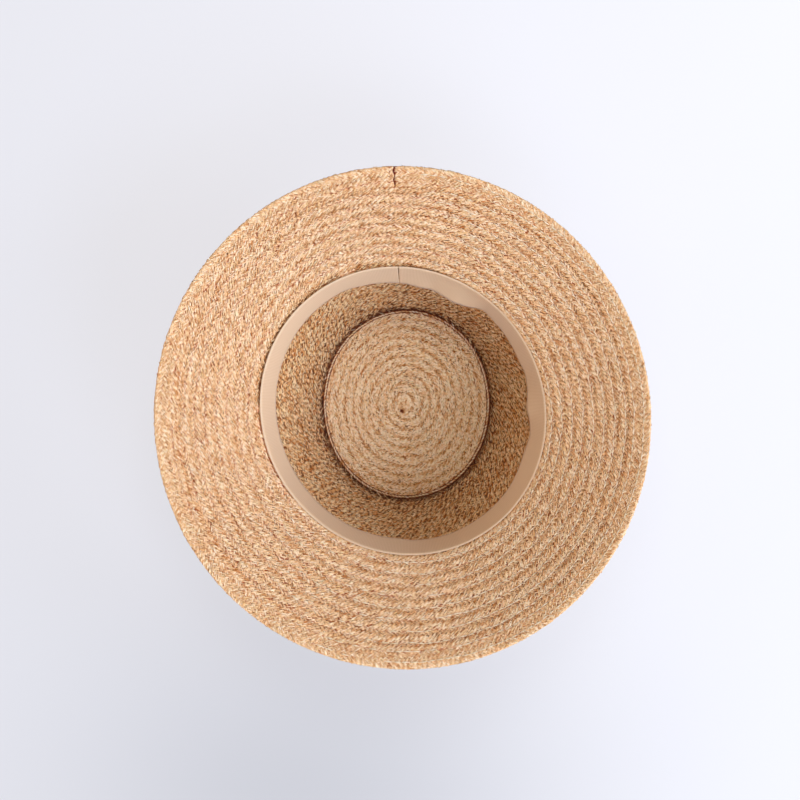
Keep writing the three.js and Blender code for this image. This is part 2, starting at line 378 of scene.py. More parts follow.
def spaced_along(turns, out_of, spacing):
    """Unwound angles at equal spacing along a row, and the row's distance out at each."""
    angle_step, tightest_bend = 0.004, 1.5
    angle = np.arange(turns[0], turns[1], angle_step)
    out = np.maximum(out_of(angle), tightest_bend)
    along = np.concatenate([[0], np.cumsum((out[1:] + out[:-1]) / 2 * np.diff(angle))])
    places = np.arange(0, along[-1], spacing)
    return np.interp(places, along, angle), np.interp(places, along, out)


def band_edge(zone, angle):
    """Distance from the fold to the inner edge of one of the rim band's rows."""
    row = ROWS[zone]
    start = BRIM_SLANT - BAND_STITCHES[zone] - row["full"]
    return start + WAVE_SHARE[zone] * edge_wave(angle + row["part"])


def row_layout(zone):
    """How a zone's rows run: unwound angles, sizes, the edge's place and the wall's station."""
    if zone in SPIRAL_TURNS:
        turns = [count * TURN for count in SPIRAL_TURNS[zone]]
    else:
        turns = [BACK + BAND_ENDS, BACK + TURN - BAND_ENDS]
    spiral_edges = {"tip": tip_edge, "side": spiral_edge, "brim": spiral_edge}
    return {
        "turns": turns,
        "row": ROWS[zone],
        "edge": spiral_edges.get(zone, lambda angle: band_edge(zone, angle)),
        "station": station_on_tip if zone == "tip" else station_beyond_fold,
    }


def row_out(layout, angle):
    """Distance out of the stitches of a row at an unwound angle."""
    stitch = layout["edge"](angle) + layout["row"]["full"]
    return middle_line(angle, layout["station"](angle, stitch))[..., 0]


def inside_corner(angle, distance):
    """How far inside the corner a place on the tip lies."""
    tip_length = zone_lengths(turning_points(angle))[0]
    return tip_length * (1 - distance / OVALS["corner"]["radius"])


def in_zone(zone, angle, stitch):
    """Which places along the spiral belong to a zone, by the distance of its stitches."""
    past_corner = {"tip": 3.0, "side": 2.5}
    under_band = 5.0
    if zone == "tip":
        return inside_corner(angle, stitch) > -past_corner["tip"]
    if zone == "side":
        side_length = zone_lengths(turning_points(angle))[1]
        return (stitch < 0) & (stitch > -side_length - past_corner["side"])
    if zone == "brim":
        return (stitch >= 0) & (stitch < BRIM_SLANT - RIM_BAND + under_band)
    return np.full(angle.shape, True)


def shows(zone, face, angle, stitch):
    """Strips that the ribbon hides for good are left out."""
    if zone != "side" or face == "outer":
        return np.full(angle.shape, True)
    behind = (stitch > HIDDEN["from"]) & (stitch < HIDDEN["to"])
    lying = smooth_by_direction(RIBBON_WAVES, angle) < HIDDEN["close"]
    return ~(behind & lying)


def share_of(distance, over):
    """A share that rises from 0 to 1 while a distance grows from 0 to `over`."""
    return (distance / over).clip(0, 1)


def within(distance):
    """A share of 1 well inside a soft edge, a half on it and 0 well outside it."""
    return (distance / SOFT_EDGE + 0.5).clip(0, 1)


def pressed_down(zone, angle, distance, face):
    """How far the strips are pressed down under the rim band and in the grooves beside the
    ribbon and the welt."""
    down = np.zeros_like(distance)
    if face == "outer":
        return down
    if zone == "tip":
        beside = share_of(GROOVE["at_welt"] - inside_corner(angle, distance), GROOVE["edge"])
        return down - GROOVE["on_tip"] * GROOVE["deep"] * beside
    side_length = zone_lengths(turning_points(angle))[1]
    if zone == "side":
        at_foot = share_of(GROOVE["at_foot"] - side_length - distance, GROOVE["edge"])
        down -= GROOVE["deep"] * at_foot
    if zone == "brim":
        band = BRIM_SLANT - RIM_BAND - UNDER_BAND["from_edge"]
        down -= UNDER_BAND["deep"] * share_of(distance - band, UNDER_BAND["over"])
    if zone in ("side", "brim"):
        low, high = GROOVE["at_ribbon"]
        inside = within(np.minimum(distance - low, high - distance))
        down -= GROOVE["deep"] * inside * smooth_by_direction(GROOVE_AT_RIBBON, angle)
    return down


def painted_shade_by_welt(zone, angle, distance):
    """How much painted shade darkens the strips towards the welt on either side of it."""
    if zone == "tip":
        away = inside_corner(angle, distance)
        dark = PAINTED_WELT_SHADE["band"] * within(GROOVE["at_welt"] - away)
    elif zone == "side":
        away = (distance + zone_lengths(turning_points(angle))[1]).clip(0)
        dark = np.zeros_like(distance)
    else:
        return np.zeros_like(distance)
    for share, fades_over in PAINTED_WELT_SHADE[zone]:
        dark = dark + share * np.exp(-away / fades_over)
    return dark


def crossing_places(zone, face, half):
    """The middles of the crossings of one half of a zone's rows: unwound angle, distance out,
    place across the row from the seam, whether the strip on top leans on, and place along."""
    layout = row_layout(zone)
    row, kind = layout["row"], FACES[face]
    angle, out = spaced_along(layout["turns"], lambda a: row_out(layout, a),
                              row["long"] * kind["larger"] / 2)
    stitch = layout["edge"](angle) + row["full"]
    kept = in_zone(zone, angle, stitch) & shows(zone, face, angle, stitch)
    column = np.flatnonzero(kept)
    step = (row["full"] + row["part"]) / round(row["across"] / kind["larger"])
    lines = np.arange(-0.5, row["across"] + 2)
    across = -row["full"] + step * (lines[None, :] + 0.5 * (column % 2)[:, None])
    past_edge, under_welt = 0.1, 1.2
    if half == "inner":
        low, high = -row["full"] - past_edge, 0.0
    else:
        low, high = 0.0, row["part"] + row["tuck"]
    wanted = (across >= low) & (across < high)
    if zone == "tip":
        wanted &= across < (inside_corner(angle[kept], stitch[kept]) - under_welt)[:, None]
    along = column * row["long"] * kind["larger"] / 2
    angle, out, column, along = (np.broadcast_to(v[:, None], across.shape)[wanted]
                                 for v in (angle[kept], out[kept], column, along))
    return layout, angle, out, across[wanted], column % 2 == 0, along


def scallop(along, fold_spread):
    """How far the folded edge bulges at a place along the row."""
    fold, place = np.divmod(along / SCALLOP["every"], 1.0)
    bulge = fold_spread[fold.astype(int) % len(fold_spread)]
    return SCALLOP["deep"] * bulge * (1 - (2 * place - 1) ** 2)


def uneven(count, spread, corners=1):
    """Random strayings for each crossing, or for each of its corners."""
    return RANDOM.normal(0, spread, (count, corners)).clip(-2 * spread, 2 * spread)


def laid_strips(row, larger, angle, across, rising, lead):
    """Places of the crossings' points: along and across the row, then along and across the
    strip itself."""
    count = len(angle)
    lengthwise, crosswise, _ = np.array(CROSSING, float).T[:, None, :]
    corners = lengthwise.size
    long, wide = row["strip"]
    length = long * larger * (1 + ON_TOP["length"] * lead + uneven(count, UNEVEN["length"])) / 2
    width = wide * larger * (1 + uneven(count, UNEVEN["width"])) / 2
    slope = 1 / (row["lean"] * by_direction(LEANS, angle)[:, None])
    turn = np.arctan(slope) * np.where(rising, 1, -1)[:, None] * (1 + ON_TOP["turn"] * lead)
    turn = turn + uneven(count, UNEVEN["turn"])
    ahead = lengthwise * length + uneven(count, UNEVEN["ahead"], corners)
    aside = crosswise * width * (1 + uneven(count, UNEVEN["aside"], corners))
    x = ahead * np.cos(turn) - aside * np.sin(turn) + uneven(count, UNEVEN["along_row"])
    y = ahead * np.sin(turn) + aside * np.cos(turn) + uneven(count, UNEVEN["across_row"])
    return x, y + across[:, None], ahead, aside


def folded_edge(zone, face, free, along):
    """How far a row's edge bulges at each crossing. An edge under the next row is straight."""
    straight = np.zeros((len(along), 1))
    if not free and ROWS[zone]["tuck"] > 0:
        return straight
    bulge = scallop(along, RANDOM.uniform(SCALLOP["least"], SCALLOP["most"], SCALLOP["kinds"]))
    if zone == "outer_band" and face == "outer":
        return straight - SCALLOP["drawn_in"]
    return bulge[:, None] * (SCALLOP["at_rim"] if zone == "outer_band" else 1)


def butted_at_back(here, out, across):
    """Keeps the rim band's strips on their side of the joint, which sways across the rows."""
    sway = RIM_JOINT["sway"] * np.sin(RIM_JOINT["sways_every"] * across)
    here = np.maximum(here, BACK + (sway + RIM_JOINT["gap"]) / out)
    return np.minimum(here, BACK + TURN + (sway - RIM_JOINT["gap"]) / out)


def lapped(row, across):
    """How far a lapped row leans out of the wall's middle at a place across it."""
    return row["lap"] * (0.5 - (row["full"] + across) / (row["full"] + row["part"]))


def strip_depth(zone, face, free, edge, fallen, down, here, distance):
    """The depth tag of the strips, which paints shade: 1 on a crest, less in pits, grooves and
    crevices.
    """
    least = FACES[face]["least_depth"]
    crevice_power, rim_power = 8, 2
    depth = DEPTH["pit"] + DEPTH["gain"] * (1 + fallen / DEPTH["over"]).clip(0, 1)
    depth = depth + DEPTH["groove"] * down
    if not free:
        depth = depth - CREVICE[zone] * edge ** crevice_power
    if zone == "outer_band":
        depth = np.maximum(depth, edge ** rim_power)
    if face == "open":
        depth = depth - painted_shade_by_welt(zone, here, distance)
    return least + (1 - least) * depth.clip(0, 1)


def crossings(zone, face, half):
    """Points and tags of the crossings of one half of a zone's rows, on one face."""
    layout, angle, out, across, rising, along = crossing_places(zone, face, half)
    row, kind = layout["row"], FACES[face]
    sign = kind["sign"]
    count = len(angle)
    low = np.array(CROSSING, float)[None, :, 2]
    corners = low.size
    # The strips of one lean lie on top on each side of the seam, most of all at the edges
    leading = (rising == ((half == "outer") == (face == "open")))[:, None]
    edge = (np.abs(across) / (row["full"] if half == "inner" else row["part"]))[:, None]
    lead = np.where(leading, 1.0, -1.0) * (ON_TOP["at_seam"] + ON_TOP["to_edge"] * edge)
    x, y, ahead, aside = laid_strips(row, kind["larger"], angle, across, rising, lead)
    free = half == "inner" if face == "open" else half == "outer"
    bulge = folded_edge(zone, face, free, along)
    y = y + np.sign(across)[:, None] * bulge * edge ** 3
    here = angle[:, None] + x / out[:, None]
    if zone in BAND_STITCHES:
        here = butted_at_back(here, out[:, None], y)
    distance = layout["edge"](here) + row["full"] + y
    down = pressed_down(zone, here, distance, face)
    pulled = PULLED_IN["deep"] * np.exp(-(y / PULLED_IN["wide"]) ** 2)
    sunk = RANDOM.random((count, 1)) < SUNK_SHARE[zone] * kind["end_shade"]
    bumps = ON_TOP["height"] * lead + uneven(count, UNEVEN["height"])
    bumps = bumps + SCALLOP["rise"] * np.maximum(bulge, 0) * edge ** 3 - pulled - SUNK["down"] * sunk
    rounded = ROUNDED_OFF * edge ** 5
    surface = sign * lapped(row, y) + WALL / 2
    height = surface + bumps + down - rounded - row["relief"] * low
    height = height + uneven(count, UNEVEN["point"], corners)
    height = np.maximum(height, CORE + np.where(low == 0, OVER_CORE["ridge"], OVER_CORE["low"]))
    points = on_wall(here, layout["station"](here, distance), sign * height)
    if face == "outer":
        points[..., 2] = above_floor(points[..., 2])
    fallen = height - surface + rounded - down
    # The depth tag paints shade into the pits, the grooves and the crevices
    depth = strip_depth(zone, face, free, edge, fallen, down, here, distance)
    tone = TONE[zone] + uneven(count, TONE_SPREAD[zone]) + uneven(count, UNEVEN["tone"], corners)
    near_fold = share_of(distance - NEAR_FOLD["from"], NEAR_FOLD["over"]) * (zone == "side")
    paler = NEAR_FOLD["paler"] * near_fold * (down > NEAR_FOLD["pressed"])
    depth = depth + (1 - depth) * paler
    # Painted shade in the tone: sunk strips, the ends that dive under the next and the row's edges
    tone = tone - SUNK["darker"] * sunk
    tone = tone - kind["end_shade"] * END_SHADE[zone] * low * (1 - NEAR_FOLD["ends_paler"] * near_fold)
    tone = tone - EDGE_SHADE[zone] * edge ** EDGE_SHADE_POWER[zone]
    if zone == "tip" and face == "open":
        from_speck = np.hypot(*(points[..., i] - SPECK["place"][i] for i in (0, 1)))
        depth = depth * (from_speck > SPECK["radius"])
    return points, strip_tags(points.shape[:2], aside, ahead, depth, tone)


def strip_tags(shape, across, along, depth, tone):
    """Tags that the raffia's colour follows: place on the strip, its tone and its depth, which sets
    painted shade.
    """
    seeds_end = 900
    seed = RANDOM.uniform(0, seeds_end, (shape[0],) + (1,) * (len(shape) - 1))
    grain = np.stack([np.broadcast_to(v, shape) for v in (across, along, seed)], -1)
    return {
        "grain": grain.reshape(-1, 3),
        "tone": np.broadcast_to(tone.clip(0, 1), shape).ravel(),
        "depth": np.broadcast_to(depth, shape).ravel(),
    }


def plait(zone, face, half):
    """The plait of one half of a zone's rows on one face, a closed pillow for each crossing."""
    points, tags = crossings(zone, face, half)
    corners = points.shape[1]
    faces = np.array(CROSSING_FACES)[None] + (np.arange(len(points)) * corners)[:, None, None]
    faces = faces.reshape(-1, 3)
    if face == "outer":
        faces = faces[:, ::-1]
    return mesh_piece(f"{zone}_plait_{face}_{half}", points, [faces], tags)


def stitches(zone, face):
    """Sewing thread along the rows' middle, one closed spindle for each stitch that shows."""
    layout = row_layout(zone)
    row = layout["row"]
    sign = FACES[face]["sign"]
    angle, out = spaced_along(layout["turns"], lambda a: row_out(layout, a), STITCH["pitch"])
    stitch = layout["edge"](angle) + row["full"]
    kept = in_zone(zone, angle, stitch) & shows(zone, face, angle, stitch)
    if face == "open":
        kept &= RANDOM.random(len(angle)) < smooth_by_direction(THREAD_SEEN, angle)
    angle, out = angle[kept], out[kept]
    count = len(angle)
    share, girth, dive = (np.array(SPINDLE[part])[None, :, None] for part in ("along", "girth", "dive"))
    round_it = (np.arange(SPINDLE["sides"]) + SPINDLE["start"]) * TURN / SPINDLE["sides"]
    length = RANDOM.uniform(STITCH["shortest"], STITCH["longest"], (count, 1, 1))
    slant = RANDOM.normal(0, STITCH["slant"], (count, 1, 1))
    stray = RANDOM.normal(0, STITCH["stray"], (count, 1, 1))
    radius = STITCH["thread"] / 2 * girth
    along = share * (STITCH["length"] * length)
    across = radius * np.cos(round_it) * STITCH["flattened"] + slant * share + stray
    here = angle[:, None, None] + along / out[:, None, None]
    distance = layout["edge"](here) + row["full"] + across
    top = sign * lapped(row, 0.0) + WALL / 2 + STITCH["proud"] + dive
    height = top + pressed_down(zone, here, distance, face) + radius * np.sin(round_it)
    points = on_wall(here, layout["station"](here, distance), sign * height)
    if face == "outer":
        points[..., 2] = above_floor(points[..., 2])
    shape = points.shape[:3]
    grain = np.stack([np.broadcast_to(v, shape) for v in
                      (along, radius * round_it, np.zeros((1, 1, 1)))], -1)
    tone = np.broadcast_to(RANDOM.uniform(0, 1, (count, 1, 1)), shape)
    faces = tube_faces(count, shape[1], shape[2])
    if face == "outer":
        faces = [block[:, ::-1] for block in faces]
    tags = {"grain": grain.reshape(-1, 3), "tone": tone.ravel()}
    return mesh_piece(f"{zone}_thread_{face}", points, faces, tags)


# ---------------------------------------------------------------- core of the wall

CORE_ANGLES = 180
# Rings of points, by station. They lie close where the wall bends.
CORE_STATIONS = {
    "tip": [0.004, 0.15, 0.4, 0.7, 0.9, 0.95],
    "side": [0.941, 0.955, 0.97, 0.985, 1.0, 1.01, 1.02, 1.03, 1.045, 1.2, 1.4, 1.6, 1.8, 1.95,
             1.965, 1.98, 1.99, 1.998, 2.006],
    "brim": [2.002, 2.01, 2.02, 2.03, 2.045, 2.2, 2.4, 2.6, 2.81],
    "rim": [2.801, 2.9, 2.995],
}


def core(zone):
    """The hidden middle of the wall that the strips lie on: a closed thin shell."""
    stations = CORE_STATIONS[zone]
    angle = BACK + np.arange(CORE_ANGLES) * TURN / CORE_ANGLES
    grid_angle, grid_station = np.meshgrid(angle, stations)
    upper = on_wall(grid_angle, grid_station, np.full(grid_angle.shape, CORE))
    lower = on_wall(grid_angle, grid_station, np.full(grid_angle.shape, -CORE))
    rows = len(stations)
    size = rows * CORE_ANGLES
    faces = [grid_faces(rows, CORE_ANGLES, 0, flip=True), grid_faces(rows, CORE_ANGLES, size)]
    edge = np.arange(CORE_ANGLES)
    after = (edge + 1) % CORE_ANGLES
    last = (rows - 1) * CORE_ANGLES
    if zone == "tip":
        faces.append(edge[None, :])
        faces.append(edge[None, ::-1] + size)
    else:
        faces.append(np.stack([edge, edge + size, after + size, after], -1)[:, ::-1])
    faces.append(np.stack([last + edge, last + edge + size, last + after + size, last + after], -1))
    # The rim's core is as pale as a strip, since its edge shows, and dark in the rim's joint
    along = np.stack([grid_angle * OVALS["rim"]["radius"], 0 * grid_angle, 0 * grid_angle], -1)
    joint, pale_tone = 0.01, 0.5
    pale = np.concatenate([(grid_angle > BACK + joint).ravel()] * 2)
    tags = {"grain": np.concatenate([along.reshape(-1, 3)] * 2), "tone": pale_tone * pale,
            "depth": pale}
    return mesh_piece(f"{zone}_core", np.concatenate([upper, lower]), faces, tags)


# ---------------------------------------------------------------- ribbon

RIBBON_STEPS = {"round": 560, "across": 12}


def ribbon():
    """Grosgrain ribbon sewn just inside the fold, its free edge in soft waves."""
    steps = RIBBON_STEPS["round"]
    angle = BACK + np.arange(steps + 1) * TURN / steps
    angle[0] += RIBBON_GAP
    angle[-1] -= RIBBON_GAP
    drop = np.linspace(0, 1, RIBBON_STEPS["across"])
    grid_angle, grid_drop = np.meshgrid(angle, drop)
    rounded_over, bend_power = 2.2, 1.6
    bow = smooth_by_direction(RIBBON_WAVES, grid_angle, rounded_over) * grid_drop ** bend_power
    distance = -RIBBON["from_fold"] - RIBBON["width"] * grid_drop
    station = station_beyond_fold(grid_angle, distance)
    thin = np.where((grid_drop == 0) | (grid_drop == 1), SELVAGE_THICKNESS, 1.0)
    shell = []
    for thickness in (RIBBON["thickness"], 0.0):
        shell.append(on_wall(grid_angle, station, RIBBON["lift"] + bow + thickness * thin))
    along = grid_angle * OVALS["fold"]["radius"]
    grain = np.stack([along, grid_drop * RIBBON["width"], np.zeros_like(along)], -1)
    rows, columns = grid_angle.shape
    size = rows * columns
    faces = [grid_faces(rows, columns, 0, wrap=False), grid_faces(rows, columns, size, True, False)]
    edge = np.arange(columns - 1)
    for row in (0, rows - 1):
        start = row * columns + edge
        strip = np.stack([start, start + size, start + 1 + size, start + 1], -1)
        faces.append(strip if row == 0 else strip[:, ::-1])
    level = np.arange(rows - 1) * columns
    for column in (0, columns - 1):
        start = level + column
        strip = np.stack([start, start + columns, start + columns + size, start + size], -1)
        faces.append(strip if column == 0 else strip[:, ::-1])
    tags = {"grain": np.concatenate([grain.reshape(-1, 3)] * 2)}
    return mesh_piece("sweatband_ribbon", np.concatenate(shell), faces, tags)


# ---------------------------------------------------------------- welt inside the corner

WELT = {"from_corner": 0.7, "width": 2.4, "height": 1.9, "sunk": 0.1, "strip": 2.3,
        "filled": 0.97, "slant": 1.7, "sway": 0.12, "stray": 0.14, "tone": 0.8, "tone_spread": 0.28}
# One strip of it: places across the strip and how high it stands there, then places over the
# cord and how high the cord stands there
WELT_STRIP = {"across": [-0.5, -0.3, 0.0, 0.3, 0.5], "crown": [0.0, 0.9, 1.0, 0.9, 0.0],
              "over": [0.0, 0.25, 0.6, 0.88, 1.0], "rise": [0.2, 0.85, 1.0, 0.8, 0.2]}


def welt():
    """A narrow corded row that stands inside the corner, one closed pillow for each strip."""
    out = OVALS["corner"]["radius"]
    angle = np.arange(0, TURN, WELT["strip"] / out)
    count = len(angle)
    across, crown = (np.array(WELT_STRIP[part])[None, None, :] for part in ("across", "crown"))
    over, rise = (np.array(WELT_STRIP[part])[None, :, None] for part in ("over", "rise"))
    sway = RANDOM.normal(0, WELT["sway"], (count, 1, 1))
    aside = across * WELT["strip"] * WELT["filled"] + WELT["slant"] * over + sway
    here = angle[:, None, None] + aside / out
    stray = RANDOM.normal(0, WELT["stray"], (count, 1, 1))
    inward = WELT["from_corner"] + WELT["width"] * (1 - over) + stray
    tip_length = zone_lengths(turning_points(here + 0 * inward))[0]
    lift = WALL / 2 - WELT["sunk"] + WELT["height"] * rise * crown
    points = on_wall(here, CORNER - inward / tip_length, lift)
    tone = WELT["tone"] + RANDOM.normal(0, WELT["tone_spread"], (count, 1, 1))
    # Painted shade on the low sides of each strip of the cord
    low_depth = 0.1
    depth = low_depth + (1 - low_depth) * crown * rise
    tags = strip_tags(points.shape[:3], across * WELT["strip"], over * WELT["width"], depth, tone)
    rings, corners = points.shape[1:3]
    return mesh_piece("tip_welt_cord", points, tube_faces(count, rings, corners), tags)


# ---------------------------------------------------------------- materials

def linear(hex_colour):
    """An sRGB hex colour as linear red, green, blue and alpha."""
    parts = [int(hex_colour[i:i + 2], 16) / 255 for i in (1, 3, 5)]
    return [c / 12.92 if c <= 0.04045 else ((c + 0.055) / 1.055) ** 2.4 for c in parts] + [1.0]


def node(tree, kind, settings=None, inputs=None):
    """Adds a node. Inputs are plain values, or sockets of other nodes to link from."""
    made = tree.nodes.new(kind)
    for name, value in (settings or {}).items():
        setattr(made, name, value)
    for name, value in (inputs or {}).items():
        if isinstance(value, bpy.types.NodeSocket):
            tree.links.new(value, made.inputs[name])
        else:
            made.inputs[name].default_value = value
    return made


def ramp(tree, factor, stops):
    """A colour ramp from (place, hex colour) stops."""
    made = node(tree, "ShaderNodeValToRGB", {}, {"Fac": factor})
    elements = made.color_ramp.elements
    while len(elements) < len(stops):
        elements.new(0.5)
    for element, (place, colour) in zip(elements, stops):
        element.position = place
        element.color = linear(colour)
    return made.outputs["Color"]


def new_material(name):
    """A material with nothing but a shader, its tree and the shader."""
    material = bpy.data.materials.new(name)
    material.use_nodes = True
    tree = material.node_tree
    tree.nodes.clear()
    shader = node(tree, "ShaderNodeBsdfPrincipled")
    output = node(tree, "ShaderNodeOutputMaterial")
    tree.links.new(shader.outputs["BSDF"], output.inputs["Surface"])
    return material, tree, shader


# Straw tones from the darkest fibres to the palest, and the hues that they are multiplied by:
# some strips are pinker and some greener than the rest
RAFFIA_TONES = [(0.0, "#c4742e"), (0.35, "#e8b07c"), (0.65, "#f8d1a6"), (1.0, "#ffead0")]
RAFFIA_HUES = [(0.0, "#fff1e8"), (0.3, "#fffdfc"), (0.7, "#fffdfc"), (1.0, "#faf6e4")]
BURNT = "#cf8a52"
# Tints by the depth tag, all painted shade: of the strips' crests, of the pits between them, whose tag
# is "pit_at", and of the deep grooves. One copy for each zone: the side is the brownest, painted shade
# for the inside of the crown.
CREST_AT = 0.72
RAFFIA_TINTS = {
    "tip": {"tint": "#fffaec", "pit": "#b86c2c", "deep": "#582c10", "pit_at": 0.3},
    "side": {"tint": "#f8ecd4", "pit": "#7a4822", "deep": "#4a260c", "pit_at": 0.3},
    "brim": {"tint": "#fffdf5", "pit": "#cc6e2c", "deep": "#7a3a12", "pit_at": 0.44},
}


def raffia_with_painted_shade(name, tint, pit, deep, pit_at):
    """Dried palm fibre, split into ribbons and plaited by hand: matt with a slight silk along
    the grain, straw tones that change from fibre to fibre, and now and then a burnt patch. Painted
    shade by the depth tag darkens its pits and grooves."""
    material, tree, shader = new_material(name)
    tone = node(tree, "ShaderNodeAttribute", {"attribute_name": "tone"}).outputs["Fac"]
    depth = node(tree, "ShaderNodeAttribute", {"attribute_name": "depth"}).outputs["Fac"]
    grain = node(tree, "ShaderNodeAttribute", {"attribute_name": "grain"}).outputs["Vector"]
    # Creases of the fibre, 0.5 mm apart, that run on for some 5 mm
    apart, long, contrast = 0.5, 5.0, 1.7
    stretched = node(tree, "ShaderNodeVectorMath", {"operation": "MULTIPLY"},
                     {0: grain, 1: (1 / apart, 1 / long, 1.0)})
    crease = node(tree, "ShaderNodeTexNoise", {},
                  {"Vector": stretched.outputs[0], "Scale": 1.0, "Detail": 3.0,
                   "Roughness": 0.65}).outputs["Fac"]
    wander = node(tree, "ShaderNodeMath", {"operation": "MULTIPLY_ADD"},
                  {0: crease, 1: contrast, 2: tone})
    straw = ramp(tree, node(tree, "ShaderNodeMath", {"operation": "SUBTRACT"},
                            {0: wander.outputs[0], 1: contrast / 2}).outputs[0], RAFFIA_TONES)
    seed = node(tree, "ShaderNodeSeparateXYZ", {}, {"Vector": grain}).outputs["Z"]
    batch = node(tree, "ShaderNodeTexWhiteNoise", {"noise_dimensions": "1D"}, {"W": seed})
    hue = ramp(tree, batch.outputs["Value"], RAFFIA_HUES)
    dyed = node(tree, "ShaderNodeVectorMath", {"operation": "MULTIPLY"}, {0: straw, 1: hue})
    # Burnt patches of some 2 mm
    patch = node(tree, "ShaderNodeTexNoise", {},
                 {"Vector": grain, "Scale": 0.55, "Detail": 2.0}).outputs["Fac"]
    singed = node(tree, "ShaderNodeMapRange", {},
                  {"Value": patch, "From Min": 0.62, "From Max": 0.74, "To Min": 0.0,
                   "To Max": 0.45})
    mixed = node(tree, "ShaderNodeMix", {"data_type": "RGBA"},
                 {"Factor": singed.outputs["Result"], "A": dyed.outputs[0],
                  "B": linear(BURNT)})
    # Painted shade: the deep grooves, the pits and the crests' tint, by the depth tag
    shade = ramp(tree, depth, [(0.0, deep), (pit_at, pit), (CREST_AT, tint)])
    tinted = node(tree, "ShaderNodeVectorMath", {"operation": "MULTIPLY"},
                  {0: mixed.outputs["Result"], 1: shade})
    bump = node(tree, "ShaderNodeBump", {}, {"Strength": 0.5, "Distance": 0.0002, "Height": crease})
    tree.links.new(tinted.outputs[0], shader.inputs["Base Color"])
    tree.links.new(bump.outputs["Normal"], shader.inputs["Normal"])
    shader.inputs["Roughness"].default_value = 0.62
    shader.inputs["IOR"].default_value = 1.45
    shader.inputs["Specular IOR Level"].default_value = 0.35
    return material


def raffia_core_painted_shade():
    """The same palm fibre deep between the strips, painted brown as the shade there."""
    material, tree, shader = new_material("raffia_between_strips_painted_shade")
    place = node(tree, "ShaderNodeTexCoord").outputs["Object"]
    blotch_size = 2.0 * MM  # of blotches in the painted shade
    blotch = node(tree, "ShaderNodeTexNoise", {},
                 {"Vector": place, "Scale": 1 / blotch_size, "Detail": 3.0})
    brown = ramp(tree, blotch.outputs["Fac"], [(0.3, "#6f3f1c"), (0.7, "#8a5428")])
    tree.links.new(brown, shader.inputs["Base Color"])
    shader.inputs["Roughness"].default_value = 0.85
    return material


def cotton_thread():
    """Mercerised cotton sewing thread, twisted: pale, with a faint diagonal twist."""
    material, tree, shader = new_material("cotton_sewing_thread")
    grain = node(tree, "ShaderNodeAttribute", {"attribute_name": "grain"}).outputs["Vector"]
    tone = node(tree, "ShaderNodeAttribute", {"attribute_name": "tone"}).outputs["Fac"]
    # The twist turns once in 0.8 mm
    twist = node(tree, "ShaderNodeTexWave", {"wave_type": "BANDS", "bands_direction": "DIAGONAL"},
                 {"Vector": grain, "Scale": 0.4, "Distortion": 0.5})
    pale = ramp(tree, tone, [(0.0, "#edd2aa"), (1.0, "#fce6c6")])
    bump = node(tree, "ShaderNodeBump", {},
                {"Strength": 0.4, "Distance": 0.0001, "Height": twist.outputs["Fac"]})
    tree.links.new(pale, shader.inputs["Base Color"])
    tree.links.new(bump.outputs["Normal"], shader.inputs["Normal"])
    shader.inputs["Roughness"].default_value = 0.75
    return material


def grosgrain():
    """Ribbed cotton and rayon ribbon: close crosswise ribs, a soft sheen and paler selvages."""
    material, tree, shader = new_material("grosgrain_ribbon_woven")
    grain = node(tree, "ShaderNodeAttribute", {"attribute_name": "grain"}).outputs["Vector"]
    split = node(tree, "ShaderNodeSeparateXYZ", {}, {"Vector": grain})
    rib_every = 1.0  # along the ribbon
    phase = node(tree, "ShaderNodeMath", {"operation": "MULTIPLY"},
                 {0: split.outputs["X"], 1: TURN / rib_every})
    rib = node(tree, "ShaderNodeMath", {"operation": "SINE"}, {0: phase.outputs[0]})
    # The weave's threads differ a little from rib to rib
    weave = node(tree, "ShaderNodeTexNoise", {},
                 {"Vector": grain, "Scale": 1.4, "Detail": 4.0, "Roughness": 0.65})
    # Painted shade: the ribbon is darker in the hollows between its ribs
    shade = node(tree, "ShaderNodeMath", {"operation": "MULTIPLY_ADD"},
                 {0: rib.outputs[0], 1: 0.5, 2: 0.5})
    uneven = node(tree, "ShaderNodeMath", {"operation": "MULTIPLY_ADD"},
                  {0: weave.outputs["Fac"], 1: 0.7, 2: shade.outputs[0]})
    cloth = ramp(tree, uneven.outputs[0], [(0.2, "#d2aa85"), (1.5, "#dfba95")])
    from_edge = node(tree, "ShaderNodeMath", {"operation": "PINGPONG"},
                     {0: split.outputs["Y"], 1: RIBBON["width"] / 2})
    selvage = node(tree, "ShaderNodeMapRange", {},
                   {"Value": from_edge.outputs[0], "From Min": 0.5, "From Max": 0.9,
                    "To Min": 0.15, "To Max": 0.0})
    mixed = node(tree, "ShaderNodeMix", {"data_type": "RGBA"},
                 {"Factor": selvage.outputs["Result"], "A": cloth, "B": linear("#efd6be")})
    bump = node(tree, "ShaderNodeBump", {},
                {"Strength": 0.13, "Distance": 0.00015, "Height": rib.outputs[0]})
    tree.links.new(mixed.outputs["Result"], shader.inputs["Base Color"])
    tree.links.new(bump.outputs["Normal"], shader.inputs["Normal"])
    shader.inputs["Roughness"].default_value = 0.7
    shader.inputs["Sheen Weight"].default_value = 0.15
    shader.inputs["Sheen Roughness"].default_value = 0.5
    return material


# The board's own light, a painted glow, how much it changes in a metre each way and how far from the
# middle that ends, and the place in metres, radius and strength of the dim spot, a painted shadow
BOARD = {"own_light": 0.672, "sideways": 0.171, "lengthways": 0.078, "change_ends": 0.35,
         "dim_place": (-0.059, -0.272, 0.0), "dim_radius": 0.124, "dim": 0.226}


